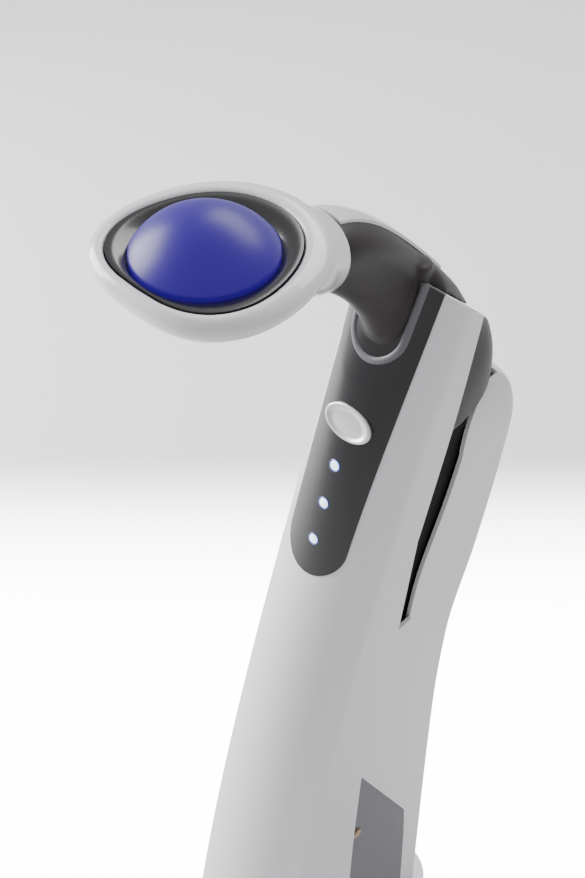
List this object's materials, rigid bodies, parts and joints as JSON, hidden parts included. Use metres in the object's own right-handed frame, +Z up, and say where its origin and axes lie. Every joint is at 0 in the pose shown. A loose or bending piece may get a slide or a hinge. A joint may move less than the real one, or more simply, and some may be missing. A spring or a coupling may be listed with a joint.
{
  "type": "palm knob control arm",
  "caption": "Leaning drive-control arm with a goose-neck stalk, a lit violet palm knob, a black indicator inlay and a bolt-down foot.",
  "frame": {"origin": "middle of the underside of the foot gasket, where the arm rests on its carrier", "axes": "+Z up, -Y forward (the side that carries the indicator panel and the head), X across, mirror plane X = 0"},
  "size_m": [0.108, 0.2772, 0.7288],
  "materials": {
    "pearl_white": "gloss paint over moulded shell",
    "soft_brown": "matt soft-touch skin",
    "piano_black": "gloss",
    "dark_plastic": "fine texture",
    "grey_plastic": "satin",
    "frame_aluminium": "cast, satin",
    "bright_metal": "polished",
    "steel": "machined",
    "bronze": "sintered",
    "black_rubber": "matt",
    "circuit_board": "solder mask",
    "chip_black": "moulded",
    "lit_lens": "clear",
    "led_emitter": "lit",
    "diffuser": "frosted",
    "violet_dome": "clear gloss over a tinted, lit body"
  },
  "bodies": {
    "arm": {"foot_plate": "frame_aluminium", "foot_gasket": "black_rubber", "frame_bolts": "steel", "arm_frame": "frame_aluminium", "front_ribs": "frame_aluminium", "front_shell": "pearl_white", "rear_spacers": "frame_aluminium", "rear_screws": "steel", "rear_shell": "pearl_white", "slot_liner": "dark_plastic", "shoulder_skin": "soft_brown", "side_web_left": "pearl_white", "side_web_right": "pearl_white", "side_panel_left": "grey_plastic", "side_panel_right": "grey_plastic", "side_studs": "bronze", "control_panel": "piano_black", "panel_gasket": "black_rubber", "socket_collar": "piano_black", "socket_lip": "grey_plastic", "emblem_plate": "bright_metal", "status_lens_upper": "lit_lens", "status_lens_middle": "lit_lens", "status_lens_lower": "lit_lens", "indicator_board": "circuit_board", "board_spacers": "steel", "board_screws": "steel", "status_leds": "led_emitter", "board_processor": "chip_black", "board_bracket": "frame_aluminium", "arm_harness": "black_rubber", "base_connector": "dark_plastic", "connector_pins": "bronze", "pivot_bush_left": "bronze", "pivot_bush_right": "bronze", "return_springs": "steel", "tilt_stops": "black_rubber", "sensor_bracket": "frame_aluminium", "angle_sensor": "circuit_board"},
    "stalk": {"pivot_shaft": "steel", "shaft_clips": "steel", "sensor_magnet": "steel", "stalk_core": "frame_aluminium", "stalk_skin": "soft_brown", "spine_cover": "pearl_white", "head_rim": "pearl_white", "head_base": "pearl_white", "bezel_ring": "piano_black", "knob_springs": "steel", "head_chassis": "dark_plastic", "knob_light_board": "circuit_board", "board_posts": "steel", "knob_leds": "led_emitter", "light_diffuser": "diffuser", "press_switch": "chip_black", "head_screws": "steel", "stalk_cable": "black_rubber"},
    "palm": {"palm_dome": "violet_dome", "knob_carrier": "dark_plastic", "carrier_clips": "steel"}
  },
  "joints": [
    {"name": "stalk_tilt", "type": "hinge", "parent": "arm", "child": "stalk", "pos_m": [0, 0.086, 0.592], "axis": [1, 0, 0], "range_deg": [-5, 5], "stiffness_Nm_per_rad": 40},
    {"name": "palm_press", "type": "slide", "parent": "stalk", "child": "palm", "axis": [0, 0, -1], "range_m": [0, 0.0015], "stiffness_N_per_m": 3000, "springref_m": -0.001, "deforming": ["knob_springs"]}
  ]
}
